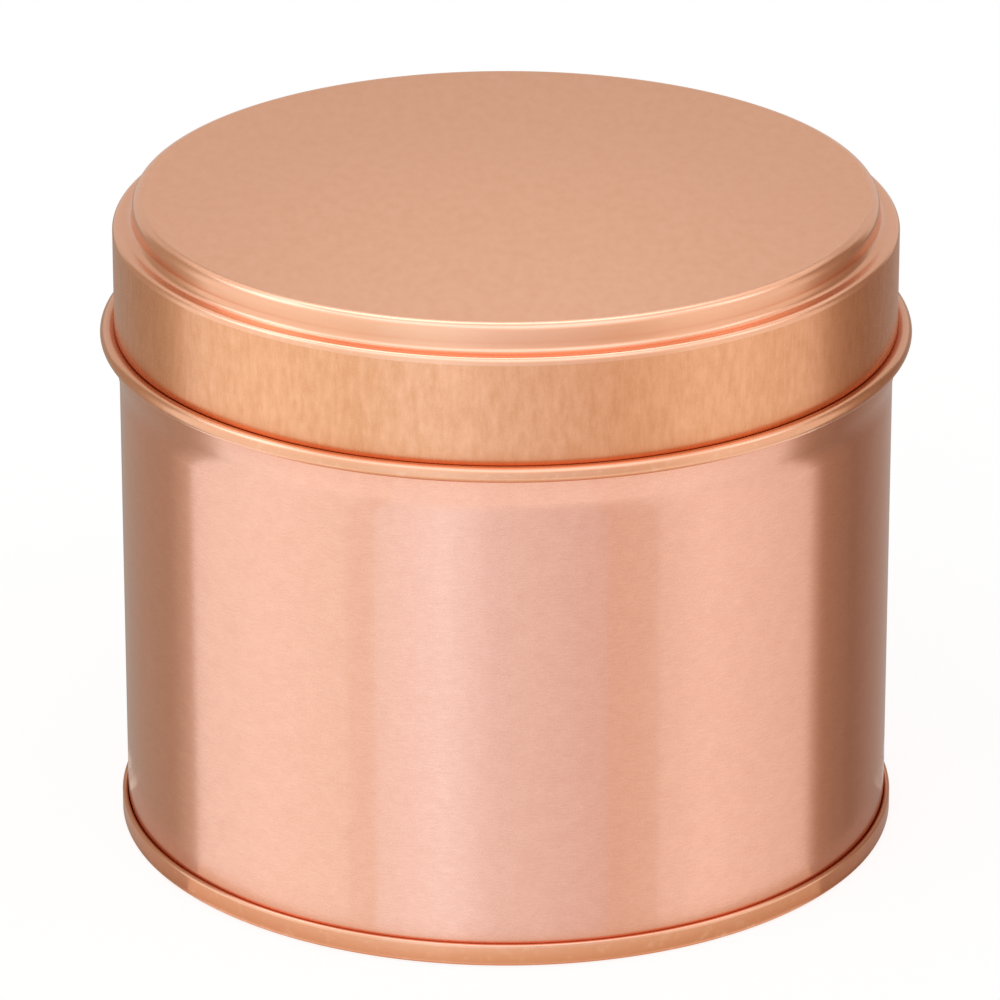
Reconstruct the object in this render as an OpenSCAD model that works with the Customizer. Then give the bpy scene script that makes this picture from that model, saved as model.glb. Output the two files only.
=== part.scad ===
// Spice tin with a lift-off lid.
// The body is one sheet, rolled and lap-welded: it flares up to a round bead, is drawn in to a
// neck and is curled inwards at the mouth. The base is joined to it by a double seam, and the
// lid slips over the neck until its hem rests on the shoulder inside the bead.
// Millimetres, +Z up. The origin is on the axis, in the plane that the tin stands on.

/* [Tin] */
// Outside diameter of the body wall
body_d = 77; // [65:1:90]
// Height of the closed tin
tin_h = 66; // [50:1:110]
// Thickness of the sheet of the body and the base
sheet_t = 0.18; // [0.16:0.01:0.22]

/* [Bead and mouth] */
// Diameter of the round bead
bead_d = 1.56; // [1.4:0.02:1.8]
// How far the bead stands out from the body wall
bead_out = 1.85; // [1.7:0.05:2.2]
// Lean of the flare below the bead, in degrees
flare_lean = 15; // [12:1:18]
// Bend radius where the flare leaves the wall
flare_bend = 8; // [4:1:12]
// Fall of the shoulder from the bead to the neck, in degrees
shoulder_fall = 25; // [20:1:30]
// Outside diameter of the curl at the mouth
mouth_curl_d = 1.7; // [1.4:0.1:2.2]

/* [Lid] */
// Height of the lid
lid_h = 13.6; // [11:0.1:18]
// Thickness of the lid sheet
lid_t = 0.2; // [0.18:0.01:0.24]
// How far the skirt stands out from the body wall
skirt_out = 0.43; // [0.35:0.01:0.6]
// Height of the step around the raised panel
step_h = 2.67; // [2:0.05:3.5]
// Width of the shoulder around the raised panel
shoulder_w = 2; // [1.6:0.1:3]
// Outside radius of the raised panel's edge
panel_edge_r = 0.75; // [0.5:0.05:1]
// Outside radius of the shoulder's edge
shoulder_edge_r = 0.65; // [0.5:0.05:0.9]
// Height of the hem folded up inside the skirt
hem_h = 1.9; // [1.2:0.1:3]
// Clearance between the hem and the neck
slip_gap = 0.15; // [0.1:0.01:0.25]

/* [Base] */
// Height of the double seam
seam_h = 2.27; // [2:0.05:2.8]
// Height of the recessed base above the table
base_rise = 2.85; // [2.6:0.05:4]
// Height of the step in the recessed base
base_step = 0.4; // [0.2:0.05:0.6]
// Diameter of the raised centre of the base
base_centre_d = 62; // [50:1:64]

/* [Hidden] */

lacquer = [0.90, 0.66, 0.54];
lid_lacquer = [0.87, 0.63, 0.49];
compound_grey = [0.55, 0.54, 0.52];

$fn = 180;
// Most that a chord of a bend stands off its arc, and the largest turn from one chord to the next
chord_error = 0.005;
chord_turn = 18;

// Radii on the middle of the sheet, from the wall outwards through the layers of the seam
body_r = body_d / 2;
wall_r = body_r - sheet_t / 2;
seam_gap = 0.02;
seam_pitch = sheet_t + seam_gap;
chuck_r = wall_r - seam_pitch;
cover_hook_r = wall_r + seam_pitch;
body_hook_r = wall_r + 2 * seam_pitch;
rim_r = wall_r + 3 * seam_pitch;

// Heights in the seam: both hooks stop short of the fold that holds them
tip_gap = 0.25;
compound_t = 0.12;
compound_rise = 0.15;
hook_low = sheet_t * 1.5 + compound_t;
body_hook_top = seam_h - sheet_t - tip_gap;
cover_hook_tip = hook_low + sheet_t / 2 + tip_gap;
channel_bend = 0.25;

// Recessed base
base_z = base_rise + sheet_t / 2;
base_bend = 0.5;
base_step_w = 0.8;
base_step_bend = 0.3;
base_centre_r = base_centre_d / 2;

// Lid, hem and neck
lid_r = body_r + skirt_out;
skirt_r = lid_r - lid_t / 2;
hem_inside = 0.1;
hem_bend = (lid_t + hem_inside) / 2;
hem_round = hem_bend + lid_t / 2;
hem_r = skirt_r - 2 * hem_bend;
lid_low = tin_h - lid_h;
ledge_z = tin_h - step_h;
panel_r = lid_r - shoulder_w;
step_foot_bend = 0.35;
neck_r = hem_r - lid_t / 2 - slip_gap - sheet_t / 2;
neck_bend = 0.3;

// The bead is as high as brings its falling shoulder up to the round of the lid's hem
bead_m = (bead_d - sheet_t) / 2;
bead_r = body_r + bead_out - bead_d / 2;
shoulder_lift = bead_m / cos(shoulder_fall);
hem_centre_r = lid_r - hem_round;
hem_centre_z = lid_low + hem_round;
bead_z = hem_centre_z - (hem_round + bead_d / 2) / cos(shoulder_fall)
    + (bead_r - hem_centre_r) * tan(shoulder_fall);

// The flare meets the underside of the bead in a tight crease
crease_bend = sheet_t / 2 + 0.03;
crease_in = 0.15;
crease_r = bead_r - crease_in;
crease_z = bead_z - bead_m;
flare_z = crease_z - (crease_r - wall_r) / tan(flare_lean);
flare_start = flare_z - flare_bend * tan(flare_lean / 2);

// Mouth
mouth_gap = 0.13;
curl_m = (mouth_curl_d - sheet_t) / 2;
mouth_z = ledge_z - lid_t - mouth_gap - sheet_t / 2;
curl_tip_in = 0.35;
curl_tip_h = 0.5;
curl_tip_bend = 0.3;

// Lap weld down the back of the body
weld_w = 0.7;
weld_rise = 0.05;
weld_end = 0.2;
back = 90;

// Direction of a step, in degrees
function heading(p, q) = atan2(q[1] - p[1], q[0] - p[0]);

// A turn between two directions, from -180 to 180
function turn(a, b) = let (d = b - a) d > 180 ? d - 360 : d < -180 ? d + 360 : d;

// Points of one bend, on the line that runs off to the left of the middle line.
// p, q and s are [r, z, bend radius] corners of the middle line, and the bend is at q.
function bend(p, q, s, off) =
    let (
        h = heading(p, q),
        d = turn(h, heading(q, s)),
        side = sign(d),
        reach = q[2] * tan(abs(d) / 2),
        centre = [
            q[0] - reach * cos(h) - side * q[2] * sin(h),
            q[1] - reach * sin(h) + side * q[2] * cos(h)
        ],
        radius = q[2] - side * off,
        count = ceil(abs(d) / min(chord_turn, 2 * acos(1 - chord_error / q[2])))
    )
    [for (k = [0:count]) let (a = h + d * k / count)
        centre + side * radius * [sin(a), -cos(a)]];

// The end of a sheet, moved to the left of the middle line
function sheet_end(p, h, off) = [p[0] - off * sin(h), p[1] + off * cos(h)];

// One face of a sheet, at a distance to the left of its middle line
function face_line(path, off) =
    let (last = len(path) - 1)
    [
        sheet_end(path[0], heading(path[0], path[1]), off),
        for (i = [1:last - 1]) each bend(path[i - 1], path[i], path[i + 1], off),
        sheet_end(path[last], heading(path[last - 1], path[last]), off)
    ];

function reversed(list) = [for (i = [len(list) - 1:-1:0]) list[i]];

// Cross-section of a bent sheet of thickness t
module sheet_section(path, t) {
    polygon(concat(face_line(path, t / 2), reversed(face_line(path, -t / 2))));
}

body_path = [
    [body_hook_r, body_hook_top, 0],
    [body_hook_r, hook_low, seam_pitch],
    [wall_r, hook_low, seam_pitch],
    [wall_r, flare_z, flare_bend],
    [crease_r, crease_z, crease_bend],
    [bead_r + bead_m, crease_z, bead_m],
    [bead_r + bead_m, bead_z + shoulder_lift + bead_m * tan(shoulder_fall), bead_m],
    [neck_r, bead_z + shoulder_lift - (bead_r - neck_r) * tan(shoulder_fall), neck_bend],
    [neck_r, mouth_z, curl_m],
    [neck_r - 2 * curl_m, mouth_z, curl_m],
    [neck_r - 2 * curl_m, mouth_z - 2 * curl_m, curl_m],
    [neck_r - curl_tip_in, mouth_z - 2 * curl_m, curl_tip_bend],
    [neck_r - curl_tip_in, mouth_z - 2 * curl_m + curl_tip_h, 0]
];

base_path = [
    [0, base_z + base_step, 0],
    [base_centre_r, base_z + base_step, base_step_bend],
    [base_centre_r + base_step_w, base_z, base_step_bend],
    [chuck_r, base_z, base_bend],
    [chuck_r, sheet_t / 2, channel_bend],
    [rim_r, sheet_t / 2, channel_bend],
    [rim_r, seam_h - sheet_t / 2, seam_pitch],
    [cover_hook_r, seam_h - sheet_t / 2, seam_pitch],
    [cover_hook_r, cover_hook_tip, 0]
];

lid_path = [
    [hem_r, lid_low + hem_h, 0],
    [hem_r, lid_low + lid_t / 2, hem_bend],
    [skirt_r, lid_low + lid_t / 2, hem_bend],
    [skirt_r, ledge_z - lid_t / 2, shoulder_edge_r - lid_t / 2],
    [panel_r - lid_t / 2, ledge_z - lid_t / 2, step_foot_bend],
    [panel_r - lid_t / 2, tin_h - lid_t / 2, panel_edge_r - lid_t / 2],
    [0, tin_h - lid_t / 2, 0]
];

// Strip of the lap weld between two radii, from height z0 to z1
module weld_strip(from_r, to_r, z0, z1) {
    sweep = 360 * weld_w / (PI * body_d);
    rotate([0, 0, back - sweep / 2])
        rotate_extrude(angle = sweep)
            translate([from_r, z0])
                square([to_r - from_r, z1 - z0]);
}

// The lap weld, which stands a little proud inside and outside the wall
module weld() {
    weld_strip(wall_r, body_r + weld_rise, seam_h + weld_end, flare_start);
    weld_strip(body_r - sheet_t - weld_rise, wall_r, base_z + base_step + weld_end, flare_start);
}

module body() {
    color(lacquer) {
        rotate_extrude()
            sheet_section(body_path, sheet_t);
        weld();
    }
}

module base_end() {
    color(lacquer)
        rotate_extrude()
            sheet_section(base_path, sheet_t);
}

// What the metal leaves free in the bottom of the seam's channel
module seam_compound() {
    color(compound_grey)
        rotate_extrude()
            difference() {
                translate([chuck_r + sheet_t / 2, sheet_t])
                    square([rim_r - chuck_r - sheet_t, compound_t + compound_rise]);
                sheet_section(body_path, sheet_t);
                sheet_section(base_path, sheet_t);
            }
}

module lid() {
    color(lid_lacquer)
        rotate_extrude()
            sheet_section(lid_path, lid_t);
}

body();
base_end();
seam_compound();
lid();
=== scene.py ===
import logging
import math
from collections.abc import Callable
from dataclasses import dataclass, field
from enum import Enum

import bmesh
import bpy
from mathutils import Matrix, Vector


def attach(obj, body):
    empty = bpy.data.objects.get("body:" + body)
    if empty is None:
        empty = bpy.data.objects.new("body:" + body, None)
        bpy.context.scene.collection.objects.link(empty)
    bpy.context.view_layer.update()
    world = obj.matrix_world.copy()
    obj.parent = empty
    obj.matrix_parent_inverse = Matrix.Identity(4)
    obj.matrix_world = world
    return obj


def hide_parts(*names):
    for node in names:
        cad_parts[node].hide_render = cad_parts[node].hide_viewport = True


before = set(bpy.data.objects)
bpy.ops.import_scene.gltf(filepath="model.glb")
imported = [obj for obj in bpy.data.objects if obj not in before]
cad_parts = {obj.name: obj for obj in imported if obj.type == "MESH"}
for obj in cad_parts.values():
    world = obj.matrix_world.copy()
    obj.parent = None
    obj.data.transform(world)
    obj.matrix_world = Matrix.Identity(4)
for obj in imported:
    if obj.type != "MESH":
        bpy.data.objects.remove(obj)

LOG = logging.getLogger("spice_tin")
MM = 0.001
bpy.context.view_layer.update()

# Name of the UV layer of the revolved sheets, and the angle from which an edge is sharp
SHEET_UV = "sheet_uv"
SHARP = math.radians(45)
# Points closer than the first are joined, and edges shorter than the second dissolved, in metres
JOIN_WITHIN, SHORT_EDGE = 1e-6, 1e-7

# Finishes that are made already, by name
MADE: dict[str, bpy.types.Material] = {}

# A point is radius and height, and a corner has its bend radius too
Point = tuple[float, float]
Corner = tuple[float, float, float]
Colour = tuple[float, float, float]
Socket = bpy.types.NodeSocket
Sockets = bpy.types.bpy_prop_collection


class Grain(Enum):
    """Which way the marks of rolling and drawing run on a finish."""

    AROUND = "around"
    DOWN = "down"
    CLOUDY = "cloudy"


@dataclass(frozen=True)
class TinSizes:
    """Sizes of the tin in millimetres.

    They are its construction's, but for the lid's panel_edge_r and step_foot_bend, which are a
    little rounder here.
    """

    body_d: float = 77.0
    tin_h: float = 66.0
    sheet_t: float = 0.18
    bead_d: float = 1.56
    bead_out: float = 1.85
    flare_lean: float = 15.0
    flare_bend: float = 8.0
    shoulder_fall: float = 25.0
    mouth_curl_d: float = 1.7
    lid_h: float = 13.6
    lid_t: float = 0.2
    skirt_out: float = 0.43
    step_h: float = 2.67
    shoulder_w: float = 2.0
    panel_edge_r: float = 1.0
    step_foot_bend: float = 0.9
    shoulder_edge_r: float = 0.65
    hem_h: float = 1.9
    slip_gap: float = 0.15
    seam_h: float = 2.27
    base_rise: float = 2.85
    base_step: float = 0.4
    base_centre_d: float = 62.0
    seam_gap: float = 0.02
    weld_w: float = 0.7
    weld_rise: float = 0.05
    weld_end: float = 0.2
    tip_gap: float = 0.25
    compound_t: float = 0.12
    channel_bend: float = 0.25
    base_bend: float = 0.5
    base_step_w: float = 0.8
    base_step_bend: float = 0.3
    crease_in: float = 0.15
    crease_gap: float = 0.03
    neck_bend: float = 0.3
    mouth_gap: float = 0.13
    curl_tip_in: float = 0.35
    curl_tip_h: float = 0.5
    curl_tip_bend: float = 0.3
    hem_inside: float = 0.1

    @property
    def body_r(self) -> float:
        """Outside radius of the body wall."""
        return self.body_d / 2

    @property
    def wall_r(self) -> float:
        """Radius of the middle of the wall's sheet."""
        return self.body_r - self.sheet_t / 2

    @property
    def pitch(self) -> float:
        """Distance between neighbouring sheets of the double seam."""
        return self.sheet_t + self.seam_gap

    @property
    def hook_low(self) -> float:
        """Height of the fold of the body's hook, on the middle of the sheet."""
        return self.sheet_t * 1.5 + self.compound_t

    @property
    def lid_r(self) -> float:
        """Outside radius of the lid's skirt."""
        return self.body_r + self.skirt_out

    @property
    def ledge_z(self) -> float:
        """Height of the ledge around the raised panel."""
        return self.tin_h - self.step_h

    @property
    def lid_low(self) -> float:
        """Height of the lid's lower edge."""
        return self.tin_h - self.lid_h

    @property
    def hem_bend(self) -> float:
        """Bend radius of the hem, on the middle of the sheet."""
        return (self.lid_t + self.hem_inside) / 2

    @property
    def hem_r(self) -> float:
        """Radius of the hem's inner sheet."""
        return self.lid_r - self.lid_t / 2 - 2 * self.hem_bend

    @property
    def bead_r(self) -> float:
        """Radius of the centre of the bead's round."""
        return self.body_r + self.bead_out - self.bead_d / 2

    @property
    def bead_m(self) -> float:
        """Bend radius of the bead, on the middle of the sheet."""
        return (self.bead_d - self.sheet_t) / 2

    @property
    def bead_z(self) -> float:
        """Height of the bead's centre, which brings its shoulder up to the hem."""
        hem_round = self.hem_bend + self.lid_t / 2
        fall = math.radians(self.shoulder_fall)
        return (self.lid_low + hem_round - (hem_round + self.bead_d / 2) / math.cos(fall)
                + (self.bead_r - self.lid_r + hem_round) * math.tan(fall))

    @property
    def crease_r(self) -> float:
        """Radius of the crease under the bead, on the middle of the sheet."""
        return self.bead_r - self.crease_in

    @property
    def crease_z(self) -> float:
        """Height of the crease under the bead, on the middle of the sheet."""
        return self.bead_z - self.bead_m

    @property
    def flare_z(self) -> float:
        """Height of the corner where the flare leaves the wall."""
        lean = math.tan(math.radians(self.flare_lean))
        return self.crease_z - (self.crease_r - self.wall_r) / lean

    def body_path(self) -> list[Corner]:
        """Corners of the middle of the body's sheet, from its hook to its mouth."""
        fall = math.tan(math.radians(self.shoulder_fall))
        lift = self.bead_m / math.cos(math.radians(self.shoulder_fall))
        hook_r = self.wall_r + 2 * self.pitch
        bead_far = self.bead_r + self.bead_m
        neck_r = self.hem_r - self.lid_t / 2 - self.slip_gap - self.sheet_t / 2
        curl = (self.mouth_curl_d - self.sheet_t) / 2
        mouth_z = self.ledge_z - self.lid_t - self.mouth_gap - self.sheet_t / 2
        curl_low = mouth_z - 2 * curl
        tip_r = neck_r - self.curl_tip_in
        return [
            (hook_r, self.seam_h - self.sheet_t - self.tip_gap, 0),
            (hook_r, self.hook_low, self.pitch),
            (self.wall_r, self.hook_low, self.pitch),
            (self.wall_r, self.flare_z, self.flare_bend),
            (self.crease_r, self.crease_z, self.sheet_t / 2 + self.crease_gap),
            (bead_far, self.crease_z, self.bead_m),
            (bead_far, self.bead_z + lift + self.bead_m * fall, self.bead_m),
            (neck_r, self.bead_z + lift - (self.bead_r - neck_r) * fall, self.neck_bend),
            (neck_r, mouth_z, curl),
            (neck_r - 2 * curl, mouth_z, curl),
            (neck_r - 2 * curl, curl_low, curl),
            (tip_r, curl_low, self.curl_tip_bend),
            (tip_r, curl_low + self.curl_tip_h, 0),
        ]

    def base_path(self) -> list[Corner]:
        """Corners of the middle of the base's sheet, from its centre to its hook."""
        base_z = self.base_rise + self.sheet_t / 2
        chuck_r, cover_r, rim_r = (self.wall_r + n * self.pitch for n in (-1, 1, 3))
        centre_r = self.base_centre_d / 2
        low, top = self.sheet_t / 2, self.seam_h - self.sheet_t / 2
        return [
            (0, base_z + self.base_step, 0),
            (centre_r, base_z + self.base_step, self.base_step_bend),
            (centre_r + self.base_step_w, base_z, self.base_step_bend),
            (chuck_r, base_z, self.base_bend),
            (chuck_r, low, self.channel_bend),
            (rim_r, low, self.channel_bend),
            (rim_r, top, self.pitch),
            (cover_r, top, self.pitch),
            (cover_r, self.hook_low + self.sheet_t / 2 + self.tip_gap, 0),
        ]

    def lid_path(self) -> list[Corner]:
        """Corners of the middle of the lid's sheet, from its hem to its centre."""
        half = self.lid_t / 2
        skirt_r = self.lid_r - half
        panel_r = self.lid_r - self.shoulder_w - half
        return [
            (self.hem_r, self.lid_low + self.hem_h, 0),
            (self.hem_r, self.lid_low + half, self.hem_bend),
            (skirt_r, self.lid_low + half, self.hem_bend),
            (skirt_r, self.ledge_z - half, self.shoulder_edge_r - half),
            (panel_r, self.ledge_z - half, self.step_foot_bend),
            (panel_r, self.tin_h - half, self.panel_edge_r - half),
            (0, self.tin_h - half, 0),
        ]


@dataclass(frozen=True)
class SheetSection:
    """Section of a bent sheet, drawn from the corners of its middle line.

    Attributes:
        path: Corners as radius, height and bend radius.
        thickness: Thickness of the sheet.
        chord_turn: Most degrees from one chord of a bend to the next.
        guard: Distance of the extra rows that keep flats flat beside bends.
        same: Points closer than this are one point.
    """

    path: list[Corner]
    thickness: float
    chord_turn: float = 7.5
    guard: float = 0.06
    same: float = 0.002

    def _turn(self, i: int) -> tuple[float, float, float]:
        """How the middle line turns at a corner.

        Args:
            i: Number of the corner.

        Returns:
            Heading before the corner and turn, in radians, and how far the bend reaches.
        """
        if not 0 < i < len(self.path) - 1:
            return 0.0, 0.0, 0.0
        p, q, s = self.path[i - 1:i + 2]
        h = math.atan2(q[1] - p[1], q[0] - p[0])
        turn = math.atan2(s[1] - q[1], s[0] - q[0]) - h
        turn = (turn + math.pi) % (2 * math.pi) - math.pi
        return h, turn, q[2] * math.tan(abs(turn) / 2)

    def _bend(self, i: int, off: float) -> list[Point]:
        """Points of one bend, moved to the left of the middle line.

        Args:
            i: Number of the bend's corner.
            off: How far to the left.

        Returns:
            Points from the start of the bend to its end, with a guard on each side.
        """
        q = self.path[i]
        h, turn, reach = self._turn(i)
        side = math.copysign(1.0, turn)
        cx = q[0] - reach * math.cos(h) - side * q[2] * math.sin(h)
        cz = q[1] - reach * math.sin(h) + side * q[2] * math.cos(h)
        radius = q[2] - side * off
        count = max(2, math.ceil(math.degrees(abs(turn)) / self.chord_turn))
        points = []
        for k in range(count + 1):
            a = h + turn * k / count
            points.append((cx + side * radius * math.sin(a), cz - side * radius * math.cos(a)))
        for end, other, heading in ((0, i - 1, h + math.pi), (-1, i + 1, h + turn)):
            room = math.dist(q[:2], self.path[other][:2]) - reach - self._turn(other)[2]
            if room > 3 * self.guard:
                at = points[end]
                extra = (at[0] + self.guard * math.cos(heading),
                         at[1] + self.guard * math.sin(heading))
                points.insert(0 if end == 0 else len(points), extra)
        return points

    def face_line(self, off: float) -> list[Point]:
        """One face of the sheet.

        Args:
            off: Distance to the left of the middle line.

        Returns:
            Points from the first end of the sheet to the last.
        """
        path = self.path
        line = []
        for end, (a, b) in ((0, path[:2]), (1, path[-2:])):
            h = math.atan2(b[1] - a[1], b[0] - a[0])
            at = b if end else a
            line.append((at[0] - off * math.sin(h), at[1] + off * math.cos(h)))
        bends = [point for i in range(1, len(path) - 1) for point in self._bend(i, off)]
        return [line[0], *bends, line[1]]

    def loop(self) -> list[Point]:
        """Points round the whole section, as a line that ends where it began or on the axis."""
        left = self.face_line(self.thickness / 2)
        right = self.face_line(-self.thickness / 2)
        if self.path[0][0] == 0:
            line = [*left, *reversed(right)]
        elif self.path[-1][0] == 0:
            line = [*reversed(left), *right]
        else:
            line = [*left, *reversed(right), left[0]]
        apart = [line[0]]
        for point in line[1:]:
            if math.dist(point, apart[-1]) > self.same:
                apart.append(point)
        return apart


class NodeTree:
    """Short ways to add and join the nodes of one tree."""

    def __init__(self, tree: bpy.types.NodeTree) -> None:
        """Keeps the tree."""
        self.tree = tree

    def add(self, kind: str, **values: object) -> bpy.types.Node:
        """Adds a node by Blender's name of its type, with its properties set by name."""
        node = self.tree.nodes.new(kind)
        for name, value in values.items():
            setattr(node, name, value)
        return node

    def join(self, source: Socket, target: Socket) -> None:
        """Links an output socket to an input socket."""
        self.tree.links.new(source, target)

    def feed(self, value: float | Colour | Socket, target: Socket) -> None:
        """Sets an input socket to a number or a linear colour, or links a socket to it."""
        if isinstance(value, (int, float)):
            target.default_value = value
        elif isinstance(value, tuple):
            target.default_value = (*value, 1)
        else:
            self.join(value, target)

    def math(self, operation: str, a: float | Socket, b: float | Socket | None = None,
             clamp: bool = False) -> Socket:
        """Adds a Math node.

        Args:
            operation: Blender's name of the operation.
            a: A number or an output socket.
            b: A second number or output socket.
            clamp: Whether the result is kept from 0 to 1.

        Returns:
            The node's output socket.
        """
        node = self.add("ShaderNodeMath", operation=operation, use_clamp=clamp)
        self.feed(a, node.inputs[0])
        if b is not None:
            self.feed(b, node.inputs[1])
        return node.outputs[0]

    def mix(self, factor: Socket, first: Colour | Socket, second: Colour) -> Socket:
        """Adds a Mix node, whose factor says how much of the second linear colour shows."""
        node = self.add("ShaderNodeMix", data_type="RGBA")
        first_slot, second_slot, result = 6, 7, 2
        self.join(factor, node.inputs[0])
        self.feed(first, node.inputs[first_slot])
        self.feed(second, node.inputs[second_slot])
        return node.outputs[result]

    def noise(self, where: Socket, scale: float | Socket, detail: float,
              roughness: float = 0.5) -> Socket:
        """Adds a Noise Texture node.

        Args:
            where: The place to sample.
            scale: How fine the noise is.
            detail: How many finer layers it has.
            roughness: How strong they are.

        Returns:
            The socket of the noise's value.
        """
        node = self.add("ShaderNodeTexNoise")
        self.join(where, node.inputs["Vector"])
        self.feed(scale, node.inputs["Scale"])
        self.feed(detail, node.inputs["Detail"])
        self.feed(roughness, node.inputs["Roughness"])
        return node.outputs["Fac"]

    def combine(self, *axes: Socket) -> Socket:
        """Makes a vector of three numbers."""
        node = self.add("ShaderNodeCombineXYZ")
        for slot, value in enumerate(axes):
            self.join(value, node.inputs[slot])
        return node.outputs[0]

    def split(self, vector: Socket) -> tuple[Socket, ...]:
        """Gives the X, Y and Z of a vector."""
        node = self.add("ShaderNodeSeparateXYZ")
        self.join(vector, node.inputs[0])
        return tuple(node.outputs)

    def place(self) -> tuple[Socket, tuple[Socket, ...], Socket]:
        """Gives a point's place, the place's X, Y and Z, and its distance from the axis."""
        where = self.add("ShaderNodeTexCoord").outputs["Object"]
        x, y, z = self.split(where)
        squares = self.math("ADD", self.math("MULTIPLY", x, x), self.math("MULTIPLY", y, y))
        return where, (x, y, z), self.math("SQRT", squares)

    @property
    def shader(self) -> bpy.types.Node:
        """The Principled shader of a new material."""
        return self.tree.nodes["Principled BSDF"]

    def show(self, surface: Socket) -> None:
        """Puts another surface in the place of the Principled shader."""
        self.tree.nodes.remove(self.shader)
        self.join(surface, self.tree.nodes["Material Output"].inputs["Surface"])


class SharedTree:
    """A node tree that is built on its first use and shared from then on.

    NAME is its name, KIND its type, and INPUTS and OUTPUTS give each socket's name and type.
    """

    NAME = ""
    KIND = "ShaderNodeTree"
    INPUTS: dict[str, str] = {}
    OUTPUTS: dict[str, str] = {}

    @classmethod
    def get(cls) -> bpy.types.NodeTree:
        """The tree, which is built on the first call."""
        tree = bpy.data.node_groups.get(cls.NAME)
        if tree is None:
            tree = bpy.data.node_groups.new(cls.NAME, cls.KIND)
            for side, sockets in (("INPUT", cls.INPUTS), ("OUTPUT", cls.OUTPUTS)):
                for name, kind in sockets.items():
                    tree.interface.new_socket(name, in_out=side, socket_type=kind)
            t = NodeTree(tree)
            cls.wire(t, t.add("NodeGroupInput").outputs, t.add("NodeGroupOutput").inputs)
        return tree

    @classmethod
    def use(cls, t: NodeTree, values: dict[str, float]) -> Sockets:
        """Adds the tree to a material's tree with these inputs, and gives its outputs."""
        node = t.add("ShaderNodeGroup", node_tree=cls.get())
        for name, value in values.items():
            node.inputs[name].default_value = value
        return node.outputs

    @classmethod
    def wire(cls, t: NodeTree, given: Sockets, out: Sockets) -> None:
        """Adds the tree's nodes, from the sockets of its inputs to those of its outputs."""
        raise NotImplementedError(cls.NAME)


class RevolveTree(SharedTree):
    """Geometry Nodes that turn a section into a closed, revolved sheet."""

    NAME = "revolved_sheet"
    KIND = "GeometryNodeTree"
    INPUTS = {"Section": "NodeSocketGeometry", "Steps": "NodeSocketInt",
              "Join within": "NodeSocketFloat", "Finish": "NodeSocketMaterial"}
    OUTPUTS = {"Sheet": "NodeSocketGeometry"}

    @classmethod
    def wire(cls, t: NodeTree, given: Sockets, out: Sockets) -> None:
        """Adds the nodes: a grid that is wrapped round the axis, one row for each point."""
        size = t.add("GeometryNodeAttributeDomainSize", component="MESH")
        t.join(given["Section"], size.inputs[0])
        rows = size.outputs["Point Count"]
        columns = t.math("ADD", given["Steps"], 1)
        grid = t.add("GeometryNodeMeshGrid")
        t.join(columns, grid.inputs["Vertices X"])
        t.join(rows, grid.inputs["Vertices Y"])
        index = t.add("GeometryNodeInputIndex").outputs[0]
        row = t.math("FLOORED_MODULO", index, rows)
        column = t.math("FLOOR", t.math("DIVIDE", t.math("ADD", index, 0.5), rows))
        sample = t.add("GeometryNodeSampleIndex", data_type="FLOAT_VECTOR", domain="POINT")
        t.join(given["Section"], sample.inputs["Geometry"])
        t.join(t.add("GeometryNodeInputPosition").outputs[0], sample.inputs["Value"])
        t.join(row, sample.inputs["Index"])
        radius, _, height = t.split(sample.outputs[0])
        angle = t.math("MULTIPLY", t.math("DIVIDE", column, given["Steps"]), 2 * math.pi)
        place = t.combine(t.math("MULTIPLY", radius, t.math("COSINE", angle)),
                          t.math("MULTIPLY", radius, t.math("SINE", angle)), height)
        store = t.add("GeometryNodeStoreNamedAttribute", data_type="FLOAT2", domain="CORNER")
        store.inputs["Name"].default_value = SHEET_UV
        t.join(grid.outputs["UV Map"], store.inputs["Value"])
        moved = t.add("GeometryNodeSetPosition")
        t.join(place, moved.inputs["Position"])
        merge = t.add("GeometryNodeMergeByDistance")
        t.join(given["Join within"], merge.inputs["Distance"])
        real = t.add("GeometryNodeRealizeInstances")
        finish = t.add("GeometryNodeSetMaterial")
        t.join(given["Finish"], finish.inputs["Material"])
        sheet = grid.outputs["Mesh"]
        for node in (store, moved, merge, real, finish):
            t.join(sheet, node.inputs["Geometry"])
            sheet = node.outputs[0]
        t.join(sheet, out["Sheet"])


def add_object(name: str, data: bpy.types.ID) -> bpy.types.Object:
    """Makes an object at the origin and puts it in the scene."""
    made = bpy.data.objects.new(name, data)
    bpy.context.scene.collection.objects.link(made)
    return made


def write_shell(shell: bmesh.types.BMesh, mesh: bpy.types.Mesh) -> None:
    """Turns a shell's faces outwards and writes it to a mesh, smooth but for its sharp edges."""
    bmesh.ops.recalc_face_normals(shell, faces=shell.faces)
    shell.to_mesh(mesh)
    shell.free()
    mesh.shade_smooth()
    mesh.set_sharp_from_angle(angle=SHARP)


def new_material(name: str) -> tuple[bpy.types.Material, NodeTree]:
    """Makes a material and gives it with its node tree."""
    material = bpy.data.materials.new(name)
    material.use_nodes = True
    return material, NodeTree(material.node_tree)


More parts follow.
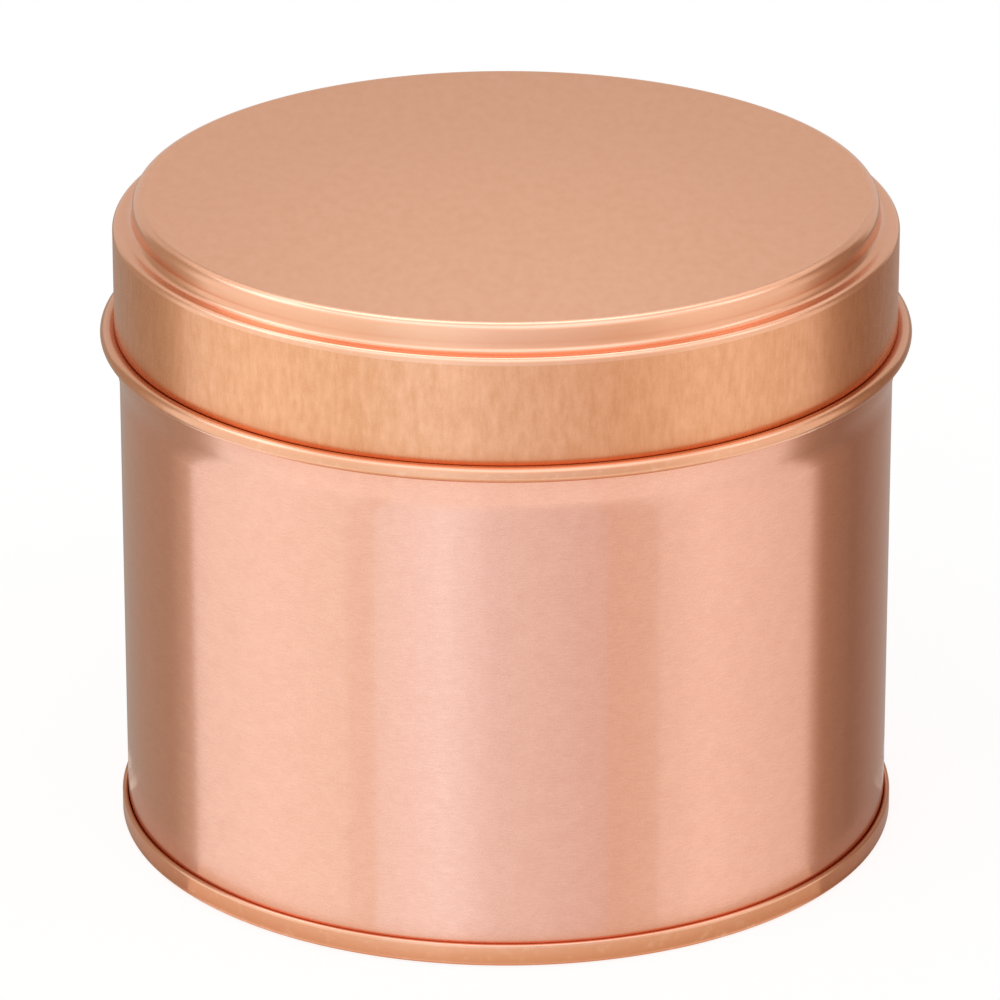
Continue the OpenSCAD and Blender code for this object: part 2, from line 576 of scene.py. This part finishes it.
def revolve(name: str, section: SheetSection, steps: int,
            finish: bpy.types.Material) -> bpy.types.Object:
    """Makes one revolved sheet as a plain mesh.

    Args:
        name: Name of the new piece.
        section: Section of the sheet.
        steps: Steps round the circle.
        finish: Material of the sheet.

    Returns:
        The piece, at the origin, with outward faces.
    """
    line = section.loop()
    mesh = bpy.data.meshes.new(name + "_section")
    points = [(r * MM, 0.0, z * MM) for r, z in line]
    mesh.from_pydata(points, [(i, i + 1) for i in range(len(points) - 1)], [])
    maker = add_object(name + "_section", mesh)
    modifier = maker.modifiers.new("revolve", "NODES")
    modifier.node_group = RevolveTree.get()
    keys = {item.name: item.identifier for item in modifier.node_group.interface.items_tree
            if item.item_type == "SOCKET" and item.in_out == "INPUT"}
    modifier[keys["Steps"]] = steps
    modifier[keys["Join within"]] = JOIN_WITHIN
    modifier[keys["Finish"]] = finish
    bpy.context.view_layer.update()
    graph = bpy.context.evaluated_depsgraph_get()
    made = bpy.data.meshes.new_from_object(maker.evaluated_get(graph))
    made.name = name
    bpy.data.objects.remove(maker)
    shell = bmesh.new()
    shell.from_mesh(made)
    bmesh.ops.dissolve_degenerate(shell, dist=SHORT_EDGE, edges=shell.edges)
    write_shell(shell, made)
    return add_object(name, made)


class GrainGroup(SharedTree):
    """Node group with the marks that a finish shows: drawn lines, cloud and speckle.

    LEAN is how much a step outwards counts as a step up, so that the lines run on over flats.
    """

    NAME = "sheet_grain"
    INPUTS = dict.fromkeys(("Around", "Down", "Cloud size"), "NodeSocketFloat")
    OUTPUTS = dict.fromkeys(("Lines", "Cloud", "Speckle"), "NodeSocketFloat")
    LEAN = 0.37
    CLOUD_STRETCH = (1.0, 0.5, 1.0)
    SPECKLE_SIZE = 9000.0

    @classmethod
    def wire(cls, t: NodeTree, given: Sockets, out: Sockets) -> None:
        """Adds the nodes: one noise for each kind of mark."""
        where, (x, y, z), radius = t.place()
        angle = t.math("ARCTAN2", y, x)
        height = t.math("ADD", z, t.math("MULTIPLY", radius, cls.LEAN))
        rolled = t.combine(t.math("MULTIPLY", t.math("COSINE", angle), given["Around"]),
                           t.math("MULTIPLY", t.math("SINE", angle), given["Around"]),
                           t.math("MULTIPLY", height, given["Down"]))
        drawn = t.add("ShaderNodeVectorMath", operation="MULTIPLY")
        drawn.inputs[1].default_value = cls.CLOUD_STRETCH
        t.join(where, drawn.inputs[0])
        t.join(t.noise(rolled, 1.0, detail=3.0, roughness=0.65), out["Lines"])
        t.join(t.noise(drawn.outputs[0], given["Cloud size"], detail=4.0), out["Cloud"])
        t.join(t.noise(where, cls.SPECKLE_SIZE, detail=1.0), out["Speckle"])


class EdgeGroup(SharedTree):
    """Node group with masks of worn edges and of painted shade in creases, where lacquer also
    pools.

    WORN_W is how far wear reaches to each side of an edge, and CREASE_W how wide a crease is.
    """

    NAME = "edge_wear_and_crease_shade"
    INPUTS = dict.fromkeys(("Ridge", "Shade and pool"), "NodeSocketFloat")
    OUTPUTS = dict.fromkeys(("Worn", "Shaded and pooled"), "NodeSocketFloat")
    WORN_W = 0.25 * MM
    WORN_MOST = 0.5
    SCUFF_SIZE = 900.0
    SCUFF_START = 0.55
    SCUFF_GAIN = 4.0
    CREASE_W = 2.2 * MM
    SHADE_AND_POOL_GAIN = 1.6

    @classmethod
    def wire(cls, t: NodeTree, given: Sockets, out: Sockets) -> None:
        """Adds the nodes: scuffs near the worn edge, and how shut in a place is, for painted shade.
        """
        where, _, radius = t.place()
        off = t.math("ABSOLUTE", t.math("SUBTRACT", radius, given["Ridge"]))
        near = t.math("SUBTRACT", 1.0, t.math("DIVIDE", off, cls.WORN_W), clamp=True)
        scuffs = t.noise(where, cls.SCUFF_SIZE, detail=5.0)
        spots = t.math("MULTIPLY", t.math("SUBTRACT", scuffs, cls.SCUFF_START), cls.SCUFF_GAIN,
                       clamp=True)
        worn = t.math("MULTIPLY", t.math("MULTIPLY", near, spots), cls.WORN_MOST)
        t.join(worn, out["Worn"])
        # Painted shade: ambient occlusion darkens shut-in creases, where lacquer also gathers
        hollow = t.add("ShaderNodeAmbientOcclusion", samples=6)
        hollow.inputs["Distance"].default_value = cls.CREASE_W
        shut = t.math("SUBTRACT", 1.0, hollow.outputs["AO"])
        shaded_and_pooled = t.math("MULTIPLY", t.math("MULTIPLY", shut, given["Shade and pool"]), cls.SHADE_AND_POOL_GAIN,
                        clamp=True)
        t.join(shaded_and_pooled, out["Shaded and pooled"])


@dataclass(frozen=True)
class MetalFinish:
    """A metal finish, lacquered or bare.

    Attributes:
        name: Name of the material.
        colour: Linear colour of the metal under its lacquer.
        deep: Linear colour that the marks lean to.
        roughness: Middle roughness.
        spread: How far the marks move the roughness.
        grain: Which way the marks run.
        around: Fineness of the marks round the tin.
        down: Fineness of the marks up and down.
        cloud: Fineness of the clouds.
        bump: Depth of the marks in metres.
        anisotropy: How much the marks stretch the reflections.
        coat: Weight of the clear lacquer.
        coat_roughness: Roughness of the clear lacquer.
        tone: How strongly the marks show in the colour.
        ridge: Radius of the edge that is worn a little, in metres, or 0.
        shade_and_pool: How much painted shade darkens creases, where lacquer also gathers.
    """

    name: str
    colour: Colour
    deep: Colour
    roughness: float
    spread: float
    grain: Grain
    around: float
    down: float
    cloud: float
    bump: float
    anisotropy: float
    coat: float = 0.0
    coat_roughness: float = 0.1
    tone: float = 0.3
    ridge: float = 0.0
    shade_and_pool: float = 0.0

    def get(self) -> bpy.types.Material:
        """The finish's material, which is built on the first call."""
        return MADE.get(self.name) or MADE.setdefault(self.name, self._build())

    def _build(self) -> bpy.types.Material:
        """Builds the material, with its marks from the shared groups."""
        material, t = new_material(self.name)
        grain = GrainGroup.use(t, {"Around": self.around, "Down": self.down,
                                   "Cloud size": self.cloud})
        edges = EdgeGroup.use(t, {"Ridge": self.ridge, "Shade and pool": self.shade_and_pool})
        marks, soft = grain["Lines"], grain["Cloud"]
        if self.grain is Grain.CLOUDY:
            marks, soft = soft, marks
        fine = FINE_SHARE_AROUND if self.grain is Grain.AROUND else FINE_SHARE
        mixed = t.math("ADD", t.math("MULTIPLY", marks, 1 - SOFT_SHARE - fine),
                       t.math("MULTIPLY", soft, SOFT_SHARE))
        mixed = t.math("ADD", mixed, t.math("MULTIPLY", grain["Speckle"], fine))
        tone = t.math("MULTIPLY", t.math("SUBTRACT", mixed, TONE_START), self.tone * TONE_GAIN,
                      clamp=True)
        colour = t.mix(tone, self.colour, self.deep)
        # Painted shade: creases that are shut in lean to a deep lacquer colour
        colour = t.mix(edges["Shaded and pooled"], colour, CREASE_SHADE_AND_LACQUER)
        colour = t.mix(edges["Worn"], colour, LACQUER_WORN)
        shader = t.shader
        t.join(colour, shader.inputs["Base Color"])
        mixed = t.math("ADD", mixed, t.math("MULTIPLY", edges["Worn"], WORN_RISE))
        lift = t.math("MULTIPLY", t.math("SUBTRACT", mixed, 0.5), self.spread * 2)
        t.join(t.math("ADD", lift, self.roughness, clamp=True), shader.inputs["Roughness"])
        bump = t.add("ShaderNodeBump")
        bump.inputs["Strength"].default_value = 1.0
        bump.inputs["Distance"].default_value = self.bump
        t.join(mixed, bump.inputs["Height"])
        t.join(bump.outputs[0], shader.inputs["Normal"])
        shader.inputs["Metallic"].default_value = 1.0
        shader.inputs["Anisotropic"].default_value = self.anisotropy
        shader.inputs["Coat Weight"].default_value = self.coat
        shader.inputs["Coat Roughness"].default_value = self.coat_roughness
        if self.anisotropy:
            tangent = t.add("ShaderNodeTangent", direction_type="UV_MAP", uv_map=SHEET_UV)
            t.join(tangent.outputs[0], shader.inputs["Tangent"])
            quarter_turn = 0.25
            shader.inputs["Anisotropic Rotation"].default_value = (
                quarter_turn if self.grain is Grain.AROUND else 0.0)
        return material


# Linear colours of the lacquered metal, of painted crease shade with pooled lacquer, and of worn
# lacquer
COPPER = (0.91, 0.485, 0.345)
COPPER_LID = (0.88, 0.455, 0.275)
CREASE_SHADE_AND_LACQUER = (0.62, 0.20, 0.07)
LACQUER_WORN = (0.92, 0.58, 0.40)

# Shares of the softer marks and of the speckle in a finish
SOFT_SHARE = 0.2
FINE_SHARE, FINE_SHARE_AROUND = 0.2, 0.4
# Where the marks begin to show in the colour, how fast they do, and how much wear adds to them
TONE_START, TONE_GAIN, WORN_RISE = 0.35, 3.3, 0.6

BRUSHED = MetalFinish("wall_brushed", COPPER, (0.80, 0.395, 0.275), 0.155, 0.02, Grain.AROUND,
                      40.0, 9000.0, 700.0, 0.2e-6, 0.95, coat=0.15, tone=1.05, shade_and_pool=0.6)
BRIGHT = MetalFinish("bead_bright", (0.83, 0.405, 0.23), (0.74, 0.33, 0.165), 0.24, 0.04,
                     Grain.AROUND, 16.0, 5000.0, 700.0, 1.0e-6, 0.3, coat=0.3, ridge=0.04035,
                     shade_and_pool=0.8)
RIM = MetalFinish("rim_bright", (0.88, 0.45, 0.28), (0.78, 0.36, 0.20), 0.24, 0.05,
                  Grain.AROUND, 20.0, 4000.0, 900.0, 1.5e-6, 0.3, coat=0.3, tone=0.5,
                  ridge=0.0391, shade_and_pool=0.8)
SATIN = MetalFinish("panel_satin", (0.752, 0.392, 0.230), (0.672, 0.322, 0.178), 0.40, 0.06,
                    Grain.CLOUDY, 30.0, 3000.0, 950.0, 5.0e-6, 0.0, tone=0.55)
DRAWN = MetalFinish("skirt_drawn", (0.88, 0.425, 0.228), (0.70, 0.295, 0.13), 0.27, 0.05,
                    Grain.DOWN, 50.0, 380.0, 900.0, 0.6e-6, 0.0, coat=0.2, tone=0.8, shade_and_pool=0.9)
POLISHED = MetalFinish("step_polished", COPPER_LID, (0.82, 0.38, 0.21), 0.25, 0.03,
                       Grain.AROUND, 16.0, 3000.0, 900.0, 1.0e-6, 0.0, coat=0.1,
                       ridge=0.0389, shade_and_pool=0.4)
TINPLATE = MetalFinish("inside_plain", (0.72, 0.70, 0.66), (0.60, 0.58, 0.55), 0.28, 0.06,
                       Grain.AROUND, 20.0, 6000.0, 500.0, 2.0e-6, 0.5)
WELDED = MetalFinish("weld_bare", (0.50, 0.47, 0.45), (0.33, 0.29, 0.27), 0.36, 0.10,
                     Grain.DOWN, 300.0, 2200.0, 2500.0, 8.0e-6, 0.0)


@dataclass(frozen=True)
class FaceSpot:
    """Where a face is, in millimetres, and which way it looks.

    Attributes:
        radius: Distance of its centre from the axis.
        z: Height of its centre.
        outward: Above 0 where it looks away from the axis.
        up: How much it looks up, from -1 to 1.
    """

    radius: float
    z: float
    outward: float
    up: float


@dataclass
class Pieces:
    """What the tin's sub-assemblies share: its sizes, and how a piece gets its finishes.

    Attributes:
        sizes: Sizes of the tin.
        steps: Steps round the circle.
    """

    sizes: TinSizes = field(default_factory=TinSizes)
    steps: int = 288

    def dress(self, piece: bpy.types.Object, finishes: list[MetalFinish],
              choose: Callable[[FaceSpot], int]) -> None:
        """Gives each face of a piece its finish.

        Args:
            piece: The piece.
            finishes: The finishes, in slot order.
            choose: Function of a face's spot that gives the slot's number.
        """
        piece.data.materials.clear()
        for finish in finishes:
            piece.data.materials.append(finish.get())
        for face in piece.data.polygons:
            at, normal = face.center / MM, face.normal
            outward = normal.x * at.x + normal.y * at.y
            spot = FaceSpot(math.hypot(at.x, at.y), at.z, outward, normal.z)
            face.material_index = choose(spot)


@dataclass
class TinBody(Pieces):
    """The wall with its flare, bead, neck and curled mouth.

    Attributes:
        bright_rise: How far above the bead's underside its finish begins.
        bright_in: How far inside the lid's skirt the finish of the shoulder's top ends.
        under_up: How much a face of the shoulder's underside looks up.
    """

    bright_rise: float = 0.05
    bright_in: float = 0.7
    under_up: float = -0.1

    def build(self) -> list[bpy.types.Object]:
        """Builds the body and its lap weld, and returns the two."""
        s = self.sizes
        section = SheetSection(s.body_path(), s.sheet_t)
        body = revolve("tin_body", section, self.steps, BRUSHED.get())
        bright_low = s.bead_z - s.bead_d / 2 + self.bright_rise
        bright_r = s.lid_r - self.bright_in
        curl_low = max(z for _, z, _ in s.body_path()) + s.sheet_t / 2 - s.mouth_curl_d

        def choose(at: FaceSpot) -> int:
            """Slot of a face: brushed wall, bright bead, neck and curl, or plain inside."""
            if at.z < bright_low:
                return 0 if at.outward > 0 else 2
            if at.z > curl_low:
                return 1
            if at.z > s.bead_z and at.radius < s.bead_r and at.up < self.under_up:
                return 2
            return 1 if at.outward > 0 or at.radius > bright_r else 2

        self.dress(body, [BRUSHED, BRIGHT, TINPLATE], choose)
        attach(body, "tin")
        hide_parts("body")
        weld = self._weld()
        return [body, weld]

    def _weld(self) -> bpy.types.Object:
        """Builds the lap weld: one closed strip at the back, proud both outside and inside."""
        s = self.sizes
        low = s.seam_h + s.weld_end
        high = s.flare_z - s.flare_bend * math.tan(math.radians(s.flare_lean) / 2)
        half = s.weld_w / 2 / s.body_r
        outer, inner = s.body_r + s.weld_rise, s.body_r - s.sheet_t - s.weld_rise
        columns, rows, soft = 10, 60, 0.02
        sides = ((outer, range(columns + 1)), (inner, range(columns, -1, -1)))
        shell = bmesh.new()
        rings = []
        for j in range(rows + 1):
            z = low + (high - low) * j / rows
            ring = []
            for radius, order in sides:
                for i in order:
                    across = 2 * i / columns - 1
                    dip = soft * across ** 6 * (1 if radius == outer else -1)
                    a = math.pi / 2 + half * across
                    r = (radius - dip) * MM
                    ring.append(shell.verts.new((r * math.cos(a), r * math.sin(a), z * MM)))
            rings.append(ring)
        for lower, upper in zip(rings, rings[1:]):
            for k in range(len(lower)):
                n = (k + 1) % len(lower)
                shell.faces.new((lower[k], lower[n], upper[n], upper[k]))
        shell.faces.new(list(reversed(rings[0])))
        shell.faces.new(rings[-1])
        mesh = bpy.data.meshes.new("lap_weld")
        write_shell(shell, mesh)
        weld = add_object("lap_weld", mesh)
        mesh.materials.append(WELDED.get())
        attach(weld, "tin")
        return weld


@dataclass
class TinBase(Pieces):
    """The recessed base, with the double seam that joins it to the body.

    Attributes:
        rim_in: How far inside the wall's outside the rim's finish ends.
        inside_up: How much a face of the inside looks up.
    """

    rim_in: float = 0.5
    inside_up: float = 0.2

    def build(self) -> list[bpy.types.Object]:
        """Builds the base, and returns it in a list."""
        s = self.sizes
        section = SheetSection(s.base_path(), s.sheet_t)
        base = revolve("tin_base", section, self.steps, RIM.get())

        def choose(at: FaceSpot) -> int:
            """Slot of a face: bright rim, satin underside, or plain inside."""
            if at.radius > s.body_r - self.rim_in:
                return 0
            return 1 if at.up < self.inside_up else 2

        self.dress(base, [RIM, SATIN, TINPLATE], choose)
        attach(base, "tin")
        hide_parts("base_end")
        return [base]


@dataclass
class TinLid(Pieces):
    """The slip lid with its raised panel, shoulder, skirt and hem.

    Attributes:
        panel_up: How much a face of the satin panel looks up.
        step_up: How much a face of the polished step looks up.
        skirt_in: How far inside the skirt's outside its finish ends.
        skirt_rise: How far above the ledge it ends.
        hem_rise: How far above the hem's edge it goes on inside.
    """

    panel_up: float = 0.5
    step_up: float = 0.02
    skirt_in: float = 0.6
    skirt_rise: float = 0.1
    hem_rise: float = 0.05

    def build(self) -> list[bpy.types.Object]:
        """Builds the lid, and returns it in a list."""
        s = self.sizes
        section = SheetSection(s.lid_path(), s.lid_t)
        lid = revolve("tin_lid", section, self.steps, SATIN.get())
        panel_r = s.lid_r - s.shoulder_w - s.panel_edge_r

        def choose(at: FaceSpot) -> int:
            """Slot of a face: satin panel, polished step, drawn skirt and hem, or plain inside."""
            if at.z < s.lid_low + s.hem_h + self.hem_rise:
                return 2
            if at.radius < panel_r and at.z > s.tin_h - s.lid_t / 2 and at.up > self.panel_up:
                return 0
            if at.up > self.step_up and at.z > s.ledge_z - s.shoulder_edge_r:
                return 1
            if at.outward <= 0:
                return 3
            if at.z > s.ledge_z and at.radius > panel_r:
                return 1
            on_skirt = at.z < s.ledge_z + self.skirt_rise and at.radius > s.lid_r - self.skirt_in
            return 2 if on_skirt else 3

        self.dress(lid, [SATIN, POLISHED, DRAWN, TINPLATE], choose)
        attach(lid, "lid")
        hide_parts("lid")
        return [lid]


@dataclass
class SeamCompound:
    """The ring of sealing compound shut in the seam, kept as the construction has it.

    Attributes:
        grey: Linear colour of the compound.
        dark: Linear colour that its clouds lean to.
        cloud: Fineness of the clouds.
        roughness: Least roughness.
        spread: How much the clouds add to it.
    """

    grey: Colour = (0.30, 0.29, 0.27)
    dark: Colour = (0.21, 0.203, 0.189)
    cloud: float = 1500.0
    roughness: float = 0.55
    spread: float = 0.2

    def build(self) -> list[bpy.types.Object]:
        """Gives the node its rubbery finish, and returns it in a list."""
        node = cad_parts["seam_compound"]
        material, t = new_material("seam_rubber")
        cloud = GrainGroup.use(t, {"Cloud size": self.cloud})["Cloud"]
        t.join(t.mix(cloud, self.grey, self.dark), t.shader.inputs["Base Color"])
        t.join(t.math("ADD", t.math("MULTIPLY", cloud, self.spread), self.roughness),
               t.shader.inputs["Roughness"])
        node.data.materials.clear()
        node.data.materials.append(material)
        return [node]


# Edges of cards as radius and height in metres: far from the tin, below it, and at its foot
FAR_LOW, FAR_HIGH = (0.2, -0.132), (0.2, 0.20)
APRON_LOW = (0.17, -0.22)
FOOT_IN, FOOT_OUT = (0.0396, 0.0001), (0.0435, 0.0001)
# Degrees from one chord of a card to the next
CARD_CHORD = 3


@dataclass(frozen=True)
class Card:
    """A curved card or soft panel round the tin that shows in reflections only.

    Attributes:
        name: Name of the card.
        start: Where on the wall one edge shows, in degrees from the camera's side towards +X.
        end: Where on the wall the other edge shows.
        first: What it sends out at the first edge, where 1 is white.
        last: What it sends out at the other edge, or None for the same.
        low: Radius and height of its lower edge, in metres.
        high: Radius and height of its upper edge.
        mirrored: Whether its edges are places on the wall, and not azimuths.
    """

    name: str
    start: float
    end: float
    first: Colour
    last: Colour | None
    low: Point = FAR_LOW
    high: Point = FAR_HIGH
    mirrored: bool = True

    def _azimuth(self, angle: float, radius: float) -> float:
        """Azimuth of a point of the card.

        Args:
            angle: Place on the wall that mirrors it to the camera, or its own azimuth.
            radius: The point's distance from the axis.

        Returns:
            The azimuth in radians.
        """
        wall_r = TinSizes().body_r * MM
        a = math.radians(angle)
        if not self.mirrored:
            return a
        along = wall_r * math.cos(a)
        run = math.sqrt(along ** 2 + radius ** 2 - wall_r ** 2) - along
        x = wall_r * math.sin(a) + run * math.sin(2 * a)
        y = -wall_r * math.cos(a) - run * math.cos(2 * a)
        return math.atan2(x, -y)

    def build(self) -> bpy.types.Object:
        """Builds the card, which the camera, matte surfaces and shadows don't see."""
        steps = max(2, round(abs(self.end - self.start) / CARD_CHORD))
        points = []
        for radius, z in (self.low, self.high):
            for k in range(steps + 1):
                a = self._azimuth(self.start + (self.end - self.start) * k / steps, radius)
                points.append((radius * math.sin(a), -radius * math.cos(a), z))
        row = steps + 1
        faces = [(k, k + 1, row + k + 1, row + k) for k in range(steps)]
        mesh = bpy.data.meshes.new(self.name)
        mesh.from_pydata(points, [], faces)
        across = mesh.attributes.new("across", "FLOAT", "POINT")
        across.data.foreach_set("value", [k / steps for _ in range(2) for k in range(row)])
        card = add_object(self.name, mesh)
        mesh.materials.append(self._glow())
        card.visible_camera = False
        card.visible_diffuse = False
        card.visible_shadow = False
        return card

    def _glow(self) -> bpy.types.Material:
        """Makes the card's light, which changes evenly from edge to edge."""
        material, t = new_material(self.name)
        across = t.add("ShaderNodeAttribute", attribute_name="across").outputs["Fac"]
        glow = t.add("ShaderNodeEmission")
        t.join(t.mix(across, self.first, self.last or self.first), glow.inputs["Color"])
        t.show(glow.outputs[0])
        return material


# What the tin mirrors: strips along its wall from left to right, below it, at its foot as a painted
# contact shadow, and above
CARDS = (
    Card("left_flag", -90, -60, (0.42, 0.38, 0.34), (0.46, 0.38, 0.30)),
    Card("left_edge", -60, -53.5, (0.46, 0.39, 0.31), (0.68, 0.62, 0.55)),
    Card("left_panel", -53.5, -38, (1.04, 1.12, 1.18), (1.14, 1.23, 1.30)),
    Card("left_inner", -38, -24, (1.14, 1.23, 1.30), (1.08, 1.18, 1.22)),
    Card("left_gap", -24, -19.5, (1.04, 1.09, 1.10), (1.03, 1.09, 1.10)),
    Card("front_left", -19.5, -9, (1.07, 1.20, 1.32), (1.14, 1.34, 1.55)),
    Card("front_mid", -9, -2, (1.14, 1.34, 1.55), (0.99, 1.08, 1.22)),
    Card("front_right", -2, 15, (0.98, 1.08, 1.20), (0.87, 0.86, 0.90)),
    Card("right_gap", 15, 23, (0.87, 0.82, 0.78), (0.90, 0.88, 0.85)),
    Card("right_panel", 23, 31, (0.98, 1.00, 1.00), (1.07, 1.11, 1.14)),
    Card("right_inner", 31, 51.5, (1.07, 1.11, 1.14), (0.90, 0.88, 0.86)),
    Card("right_edge", 51.5, 54, (0.75, 0.67, 0.62), (0.49, 0.37, 0.29)),
    Card("right_flag", 54, 64, (0.43, 0.32, 0.24), (0.30, 0.21, 0.16)),
    Card("right_far", 64, 90, (0.30, 0.21, 0.16), (0.51, 0.45, 0.41)),
    Card("apron", -70, 70, (1.26, 1.37, 1.44), (1.08, 1.12, 1.14), APRON_LOW, FAR_LOW),
    Card("apron_foot", -70, 70, (0.95, 0.86, 0.76), (0.85, 0.74, 0.64), (0.12, -0.4), APRON_LOW),
    Card("back_shade", 110, 250, (0.70, 0.68, 0.66), None, (0.074, 0.058), (0.074, 0.100),
         mirrored=False),
    # Painted contact shadow: dim rings at the tin's foot, seen only in reflections
    Card("foot_left_flag", -90, -53, (0.46, 0.36, 0.32), (0.55, 0.42, 0.34), FOOT_IN, FOOT_OUT),
    Card("foot_left", -53, -8, (0.85, 0.70, 0.58), (0.97, 0.93, 0.86), FOOT_IN, FOOT_OUT),
    Card("foot_right", -8, 52, (0.94, 0.87, 0.76), (0.66, 0.52, 0.40), FOOT_IN, FOOT_OUT),
    Card("foot_right_flag", 52, 90, (0.44, 0.32, 0.25), (0.34, 0.26, 0.24), FOOT_IN, FOOT_OUT),
    Card("foot_back", 92, 268, (0.75, 0.70, 0.62), None, FOOT_IN, FOOT_OUT, mirrored=False),
    Card("overhead", 0, 360, (1.06, 1.10, 1.20), None, (0.001, 0.45), (0.16, 0.45), mirrored=False),
    Card("front_high", -75, 75, (1.85, 2.00, 2.50), (1.60, 1.72, 2.15), (0.22, 0.33), (0.07, 0.43),
         mirrored=False),
    Card("left_softbox", -112, -75, (2.2, 2.5, 3.2), None, (0.30, 0.284), (0.16, 0.312),
         mirrored=False),
    Card("right_softbox", 78, 97, (2.0, 2.2, 2.8), None, (0.30, 0.284), (0.16, 0.312),
         mirrored=False),
    Card("front_slope", -75, 75, (1.30, 1.32, 1.45), (1.15, 1.16, 1.25), (0.34, 0.24), (0.22, 0.33),
         mirrored=False),
    Card("high_panel", 135, 240, (2.2, 2.4, 2.9), (2.6, 2.8, 3.4), (0.21, 0.34), (0.09, 0.42),
         mirrored=False),
)

# Name, azimuth in degrees, width and height in metres, and level of each lamp
LAMPS = (
    ("left_box", -62, 0.75, 0.9, 0.35),
    ("front_box", -12, 0.45, 0.9, 0.35),
    ("right_box", 72, 0.75, 0.9, 0.25),
)


@dataclass
class Studio:
    """Floor, soft lights and camera, in metres and degrees, with levels where 1 is white.

    Attributes:
        centre: Point that the camera looks at, from its distance and elevation.
        scale: Pixels per millimetre there.
        aim: Pixel of the photograph, which is side_px wide, where the centre shows.
        sensor: Width of the camera's sensor in millimetres.
        floor_side: Half the side of the floor, which lies floor_drop below the tin.
        floor_grey: Matte level of the floor, to which the camera sees floor_glow added.
        surround: What the surround sends to matte surfaces.
        lamp_aim: Point that the lamps face from lamp_far and lamp_z.
    """

    centre: Vector = field(default_factory=lambda: Vector((0, 0, 0.033)))
    distance: float = 0.726
    elevation: float = 22.5
    scale: float = 9.95
    aim: tuple[float, float] = (506.0, 499.5)
    side_px: int = 1000
    sensor: float = 36.0
    floor_side: float = 3.0
    floor_drop: float = 0.00002
    floor_grey: float = 0.35
    floor_glow: float = 0.81
    surround: float = 0.5
    lamp_far: float = 0.9
    lamp_z: float = 0.5
    lamp_aim: Vector = field(default_factory=lambda: Vector((0, 0, 0.03)))

    def build(self) -> None:
        """Sets up the whole studio."""
        self._camera()
        self._floor()
        self._world()
        self._lights()
        bpy.context.scene.view_settings.view_transform = "Standard"

    def _camera(self) -> None:
        """Places the camera at the photograph's angle."""
        data = bpy.data.cameras.new("camera")
        data.sensor_width = self.sensor
        data.lens = self.scale * self.distance / MM * self.sensor / self.side_px
        data.shift_x = 0.5 - self.aim[0] / self.side_px
        data.shift_y = self.aim[1] / self.side_px - 0.5
        data.clip_start = 0.05
        camera = add_object("camera", data)
        e = math.radians(self.elevation)
        back = Vector((0, -math.cos(e), math.sin(e)))
        camera.location = self.centre + back * self.distance
        camera.rotation_euler = (-back).to_track_quat("-Z", "Y").to_euler()
        bpy.context.scene.camera = camera

    @staticmethod
    def _seen(t: NodeTree) -> Socket:
        """Adds the mask that is 1 for the rays that see white: camera, glossy, transmission."""
        path = t.add("ShaderNodeLightPath").outputs
        both = t.math("MAXIMUM", path["Is Camera Ray"], path["Is Glossy Ray"])
        return t.math("MAXIMUM", both, path["Is Transmission Ray"])

    def _floor(self) -> None:
        """Makes the pale floor, which keeps the tin's shadow."""
        mesh = bpy.data.meshes.new("floor")
        side = self.floor_side
        mesh.from_pydata([(-side, -side, 0), (side, -side, 0), (side, side, 0), (-side, side, 0)],
                         [], [(0, 1, 2, 3)])
        floor = add_object("floor", mesh)
        floor.location.z = -self.floor_drop
        floor.visible_glossy = False
        material, t = new_material("floor_white")
        matte = t.add("ShaderNodeBsdfDiffuse")
        matte.inputs["Color"].default_value = (*[self.floor_grey] * 3, 1)
        glow = t.add("ShaderNodeEmission")
        t.join(t.math("MULTIPLY", self._seen(t), self.floor_glow), glow.inputs["Strength"])
        both = t.add("ShaderNodeAddShader")
        t.join(matte.outputs[0], both.inputs[0])
        t.join(glow.outputs[0], both.inputs[1])
        t.show(both.outputs[0])
        mesh.materials.append(material)

    def _world(self) -> None:
        """Makes the plain white surround."""
        world = bpy.data.worlds.new("surround")
        bpy.context.scene.world = world
        world.use_nodes = True
        t = NodeTree(world.node_tree)
        sky = world.node_tree.nodes["Background"]
        sky.inputs["Color"].default_value = (1, 1, 1, 1)
        rest = t.math("MULTIPLY", self._seen(t), 1 - self.surround)
        t.join(t.math("ADD", rest, self.surround), sky.inputs["Strength"])

    def _lights(self) -> None:
        """Hangs the soft boxes and the cards round the tin."""
        for name, azimuth, width, height, level in LAMPS:
            data = bpy.data.lights.new(name, "AREA")
            data.shape = "RECTANGLE"
            data.size, data.size_y = width, height
            data.energy = level * math.pi * width * height
            lamp = add_object(name, data)
            a = math.radians(azimuth)
            lamp.location = (self.lamp_far * math.sin(a), -self.lamp_far * math.cos(a), self.lamp_z)
            aim = self.lamp_aim - lamp.location
            lamp.rotation_euler = aim.to_track_quat("-Z", "Y").to_euler()
        for card in CARDS:
            card.build()


def main() -> None:
    """Builds the tin piece by piece, then the studio."""
    logging.basicConfig(level=logging.INFO, format="%(name)s: %(message)s")
    Studio().build()
    for assembly in (TinBody(), TinBase(), SeamCompound(), TinLid()):
        for piece in assembly.build():
            LOG.info("%s: %d faces", piece.name, len(piece.data.polygons))


if __name__ == "__main__":
    main()
